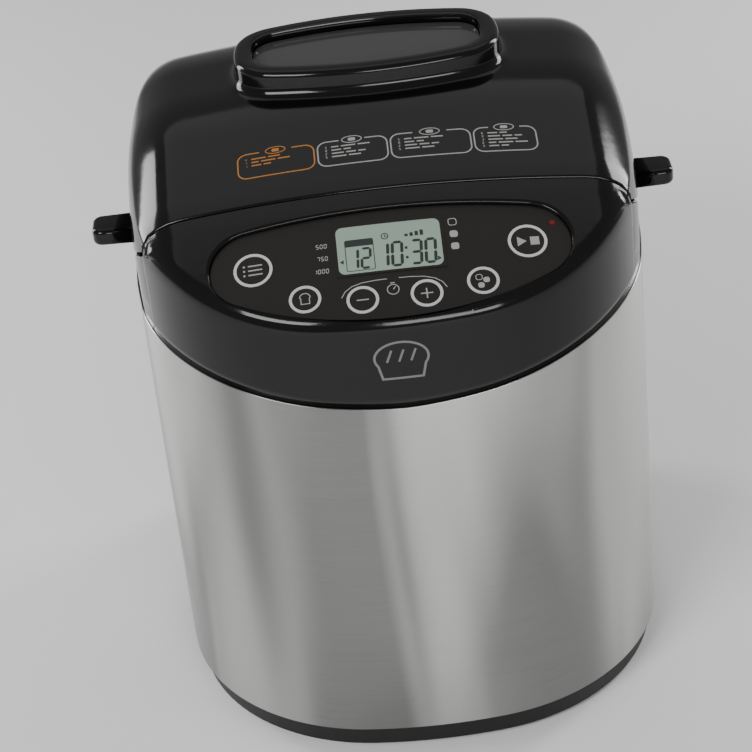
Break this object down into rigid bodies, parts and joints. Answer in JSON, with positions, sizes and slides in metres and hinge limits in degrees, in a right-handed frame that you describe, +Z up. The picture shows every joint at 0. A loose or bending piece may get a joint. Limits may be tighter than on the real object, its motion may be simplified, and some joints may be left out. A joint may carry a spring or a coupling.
{
  "type": "bread machine",
  "caption": "Countertop bread machine: brushed steel wrap, sloping control panel with display and buttons, hinged lid with window, lift-out pan with kneading paddle and belt drive.",
  "frame": {"origin": "on the table under the middle of the object's bounding box", "axes": "+Z up, front with the control panel faces -Y, +X to the right seen from the front"},
  "size_m": [0.284, 0.27, 0.305],
  "materials": {
    "black_gloss_abs": "high gloss moulded",
    "black_matte_abs": "fine texture moulded",
    "brushed_stainless": "fine vertical brushed",
    "panel_film": "printed film over plastic, satin",
    "silver_ring": "bright satin plated",
    "lcd_glass": "clear",
    "lcd_body": "lcd cell in a white frame",
    "red_led": "tinted",
    "circuit_board": "solder mask",
    "zinc_steel": "zinc plated",
    "black_component": "moulded",
    "aluminised_steel": "dull",
    "element_steel": "drawn",
    "non_stick": "non-stick coating",
    "die_cast": "as cast",
    "sintered_bronze": "sintered",
    "motor_can": "lacquered steel",
    "rubber": "matte",
    "silicone": "soft",
    "tinted_glass": "smoked, gloss"
  },
  "bodies": {
    "machine": {"base_tray": "black_matte_abs", "rubber_feet": "rubber", "steel_wrap": "brushed_stainless", "rear_cover": "black_matte_abs", "rear_screws": "zinc_steel", "cord_gland": "black_matte_abs", "upper_housing": "black_gloss_abs", "control_panel": "panel_film", "button_rings": "silver_ring", "lcd_window": "lcd_glass", "lcd_module": "lcd_body", "led_lens": "red_led", "control_board": "circuit_board", "board_screws": "zinc_steel", "tact_switches": "black_component", "hinge_pins": "zinc_steel", "oven_liner": "aluminised_steel", "heating_element": "element_steel", "heater_clips": "zinc_steel", "temperature_probe": "element_steel", "thermal_fuse": "zinc_steel", "pan_socket": "aluminised_steel", "chassis_plate": "zinc_steel", "oven_legs": "zinc_steel", "side_stays": "zinc_steel", "frame_screws": "zinc_steel", "shaft_bearing": "sintered_bronze", "drive_belt": "rubber", "motor_body": "motor_can", "motor_mounts": "rubber", "power_board": "circuit_board", "power_parts": "black_component"},
    "lid": {"lid_shell": "black_gloss_abs", "lid_liner": "aluminised_steel", "lid_seal": "silicone", "window_pane": "tinted_glass", "window_gasket": "black_matte_abs", "inner_pane": "tinted_glass", "lid_tab_left": "black_gloss_abs", "lid_tab_right": "black_gloss_abs"},
    "pan": {"bread_pan": "non_stick", "pan_base": "die_cast", "pan_bush": "sintered_bronze"},
    "handle": {"pan_handle": "element_steel"},
    "pan_drive": {"pan_shaft": "element_steel", "pan_coupler": "die_cast"},
    "paddle": {"kneading_paddle": "non_stick"},
    "drive": {"main_shaft": "element_steel", "drive_coupler": "die_cast", "large_pulley": "black_component"},
    "rotor": {"motor_shaft": "element_steel", "motor_pulley": "black_component", "motor_fan": "black_component"},
    "menu_button": {"menu_button": "panel_film"},
    "start_button": {"start_button": "panel_film"},
    "loaf_button": {"loaf_button": "panel_film"},
    "crust_button": {"crust_button": "panel_film"},
    "minus_button": {"minus_button": "panel_film"},
    "plus_button": {"plus_button": "panel_film"}
  },
  "joints": [
    {"name": "lid_hinge", "type": "hinge", "parent": "machine", "child": "lid", "pos_m": [0, 0.122, 0.24], "axis": [-1, 0, 0], "range_deg": [0, 95]},
    {"name": "menu_press", "type": "slide", "parent": "machine", "child": "menu_button", "axis": [0, 0.4384, -0.8988], "range_m": [0, 0.0008], "stiffness_N_per_m": 600},
    {"name": "start_press", "type": "slide", "parent": "machine", "child": "start_button", "axis": [0, 0.4384, -0.8988], "range_m": [0, 0.0008], "stiffness_N_per_m": 600},
    {"name": "loaf_press", "type": "slide", "parent": "machine", "child": "loaf_button", "axis": [0, 0.4384, -0.8988], "range_m": [0, 0.0008], "stiffness_N_per_m": 600},
    {"name": "crust_press", "type": "slide", "parent": "machine", "child": "crust_button", "axis": [0, 0.4384, -0.8988], "range_m": [0, 0.0008], "stiffness_N_per_m": 600},
    {"name": "minus_press", "type": "slide", "parent": "machine", "child": "minus_button", "axis": [0, 0.4384, -0.8988], "range_m": [0, 0.0008], "stiffness_N_per_m": 600},
    {"name": "plus_press", "type": "slide", "parent": "machine", "child": "plus_button", "axis": [0, 0.4384, -0.8988], "range_m": [0, 0.0008], "stiffness_N_per_m": 600},
    {"name": "pan_lift", "type": "slide", "parent": "machine", "child": "pan", "axis": [0, 0, 1], "range_m": [0, 0.035]},
    {"name": "handle_swing", "type": "hinge", "parent": "pan", "child": "handle", "pos_m": [0, 0.026, 0.205], "axis": [1, 0, 0], "range_deg": [0, 148]},
    {"name": "pan_shaft_spin", "type": "hinge", "parent": "pan", "child": "pan_drive", "pos_m": [0, 0.026, 0.068], "axis": [0, 0, 1], "continuous": true},
    {"name": "paddle_lift", "type": "slide", "parent": "pan_drive", "child": "paddle", "axis": [0, 0, 1], "range_m": [0, 0.06]},
    {"name": "drive_spin", "type": "hinge", "parent": "machine", "child": "drive", "pos_m": [0, 0.026, 0.05], "axis": [0, 0, 1], "continuous": true},
    {"name": "motor_spin", "type": "hinge", "parent": "machine", "child": "rotor", "pos_m": [0.03, -0.094, 0.05], "axis": [0, 0, 1], "continuous": true}
  ],
  "couplings": [
    {"joint": "motor_spin", "follows": "drive_spin", "ratio": 5.5},
    {"joint": "pan_shaft_spin", "follows": "drive_spin", "ratio": 1}
  ]
}
